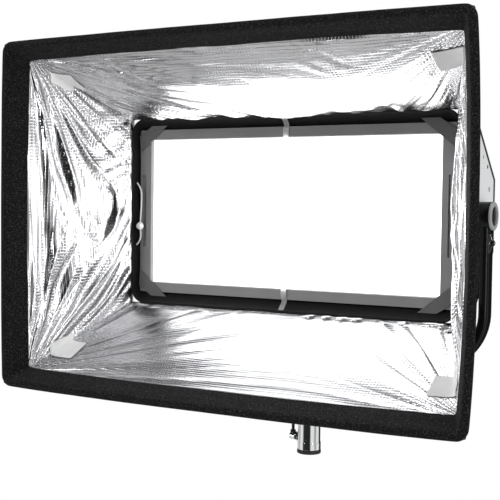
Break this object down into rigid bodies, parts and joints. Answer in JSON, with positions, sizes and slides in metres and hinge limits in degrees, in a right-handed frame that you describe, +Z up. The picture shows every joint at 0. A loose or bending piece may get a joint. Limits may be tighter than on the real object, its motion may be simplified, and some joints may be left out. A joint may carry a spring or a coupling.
{
  "type": "strip softbox on an LED panel head",
  "caption": "Wide fabric softbox with a silver lining on an LED panel head, held in a tilting yoke with a socket for a light stand.",
  "frame": {"origin": "centre of the stand socket's mouth, on the axis of its bore", "axes": "+Z up along the stand, the softbox opens towards -Y, +X towards the side plate on the right when looking into the softbox"},
  "size_m": [0.8846, 0.5025, 0.7755],
  "materials": {
    "yoke_black": "satin",
    "chrome": "polished",
    "ring_rubber": "satin",
    "black_steel": "satin",
    "brass_shoe": "satin",
    "knob_grey": "satin",
    "black_plastic": "matte",
    "key_grey": "matte",
    "plate_grey": "satin",
    "case_black": "satin",
    "bezel_grey": "satin",
    "opal": "satin",
    "white_tray": "matte",
    "circuit_board": "satin",
    "emitter": "gloss",
    "bare_aluminium": "satin",
    "display": "gloss",
    "black_shell": "matte",
    "silver_lining": "satin",
    "loop_fabric": "matte",
    "collar_fabric": "matte",
    "rod_fibre": "satin",
    "white_webbing": "matte",
    "grey_webbing": "matte",
    "white_elastic": "matte",
    "white_ball": "satin"
  },
  "bodies": {
    "yoke": {"yoke_frame": "yoke_black", "stand_socket": "chrome", "socket_ring": "ring_rubber", "socket_bolts": "chrome", "lock_nut": "chrome", "safety_lugs": "chrome"},
    "lock": {"lock_screw": "chrome", "lock_bar": "black_steel"},
    "lock_shoe": {"lock_shoe": "brass_shoe"},
    "tilt_clamp_left": {"tilt_knob_ring_left": "knob_grey", "tilt_knob_core_left": "black_plastic"},
    "tilt_clamp_right": {"tilt_knob_ring_right": "knob_grey", "tilt_knob_core_right": "black_plastic"},
    "head": {"pivot_stubs": "chrome", "friction_washers": "black_plastic", "side_plate_left": "plate_grey", "side_plate_right": "plate_grey", "rear_housing": "case_black", "front_bezel": "bezel_grey", "diffuser_panel": "opal", "reflector_tray": "white_tray", "led_board": "circuit_board", "led_emitters": "emitter", "heat_sink": "bare_aluminium", "chassis_plate": "bare_aluminium", "power_supply": "bare_aluminium", "driver_board": "circuit_board", "housing_screws": "chrome", "control_fascia": "black_plastic", "display_glass": "display", "fan_frames": "black_plastic", "panel_sockets": "black_plastic"},
    "fan_inner": {"fan_rotor_inner": "black_plastic"},
    "fan_outer": {"fan_rotor_outer": "black_plastic"},
    "intensity_knob": {"intensity_knob": "black_plastic"},
    "colour_knob": {"colour_knob": "black_plastic"},
    "menu_knob": {"menu_knob": "black_plastic"},
    "button_1": {"button_1": "key_grey"},
    "button_2": {"button_2": "key_grey"},
    "button_3": {"button_3": "key_grey"},
    "power_rocker": {"power_rocker": "black_plastic"},
    "softbox": {"shell_top": "black_shell", "shell_bottom": "black_shell", "shell_left": "black_shell", "shell_right": "black_shell", "lining_top": "silver_lining", "lining_bottom": "silver_lining", "lining_left": "silver_lining", "lining_right": "silver_lining", "front_lip": "loop_fabric", "rear_collar": "collar_fabric", "front_rods": "rod_fibre", "front_elbows": "black_plastic", "rear_frame": "bare_aluminium", "corner_rods": "rod_fibre", "rod_pockets": "white_webbing", "corner_straps": "grey_webbing", "centre_strap": "white_webbing", "toggle_cord": "white_elastic", "cord_ball": "white_ball"}
  },
  "joints": [
    {"name": "head_tilt", "type": "hinge", "parent": "yoke", "child": "head", "pos_m": [0, 0, 0.465], "axis": [-1, 0, 0], "range_deg": [-25, 90]},
    {"name": "softbox_pull_off", "type": "slide", "parent": "head", "child": "softbox", "axis": [0, -1, 0], "range_m": [0, 0.08]},
    {"name": "lock_turn", "type": "hinge", "parent": "yoke", "child": "lock", "pos_m": [-0.0355, 0, 0.022], "axis": [1, 0, 0], "range_deg": [0, 480]},
    {"name": "lock_press", "type": "slide", "parent": "yoke", "child": "lock_shoe", "axis": [1, 0, 0], "range_m": [0, 0.0021]},
    {"name": "tilt_clamp_left_turn", "type": "hinge", "parent": "yoke", "child": "tilt_clamp_left", "pos_m": [-0.357, 0, 0.465], "axis": [-1, 0, 0], "range_deg": [0, 120]},
    {"name": "tilt_clamp_right_turn", "type": "hinge", "parent": "yoke", "child": "tilt_clamp_right", "pos_m": [0.357, 0, 0.465], "axis": [1, 0, 0], "range_deg": [0, 120]},
    {"name": "fan_inner_spin", "type": "hinge", "parent": "head", "child": "fan_inner", "pos_m": [0.165, 0.075, 0.465], "axis": [0, 1, 0], "continuous": true},
    {"name": "fan_outer_spin", "type": "hinge", "parent": "head", "child": "fan_outer", "pos_m": [0.265, 0.075, 0.465], "axis": [0, 1, 0], "continuous": true},
    {"name": "intensity_knob_turn", "type": "hinge", "parent": "head", "child": "intensity_knob", "pos_m": [-0.11, 0.1, 0.487], "axis": [0, 1, 0], "continuous": true},
    {"name": "colour_knob_turn", "type": "hinge", "parent": "head", "child": "colour_knob", "pos_m": [-0.15, 0.1, 0.487], "axis": [0, 1, 0], "continuous": true},
    {"name": "menu_knob_turn", "type": "hinge", "parent": "head", "child": "menu_knob", "pos_m": [-0.225, 0.1, 0.435], "axis": [0, 1, 0], "continuous": true},
    {"name": "button_1_press", "type": "slide", "parent": "head", "child": "button_1", "axis": [0, -1, 0], "range_m": [0, 0.0018], "stiffness_N_per_m": 300, "springref_m": -0.001},
    {"name": "button_2_press", "type": "slide", "parent": "head", "child": "button_2", "axis": [0, -1, 0], "range_m": [0, 0.0018], "stiffness_N_per_m": 300, "springref_m": -0.001},
    {"name": "button_3_press", "type": "slide", "parent": "head", "child": "button_3", "axis": [0, -1, 0], "range_m": [0, 0.0018], "stiffness_N_per_m": 300, "springref_m": -0.001},
    {"name": "power_switch", "type": "hinge", "parent": "head", "child": "power_rocker", "pos_m": [-0.092, 0.0875, 0.441], "axis": [1, 0, 0], "range_deg": [0, 12]}
  ],
  "couplings": [
    {"joint": "lock_press", "follows": "lock_turn", "m_per_rad": 0.0002387}
  ]
}
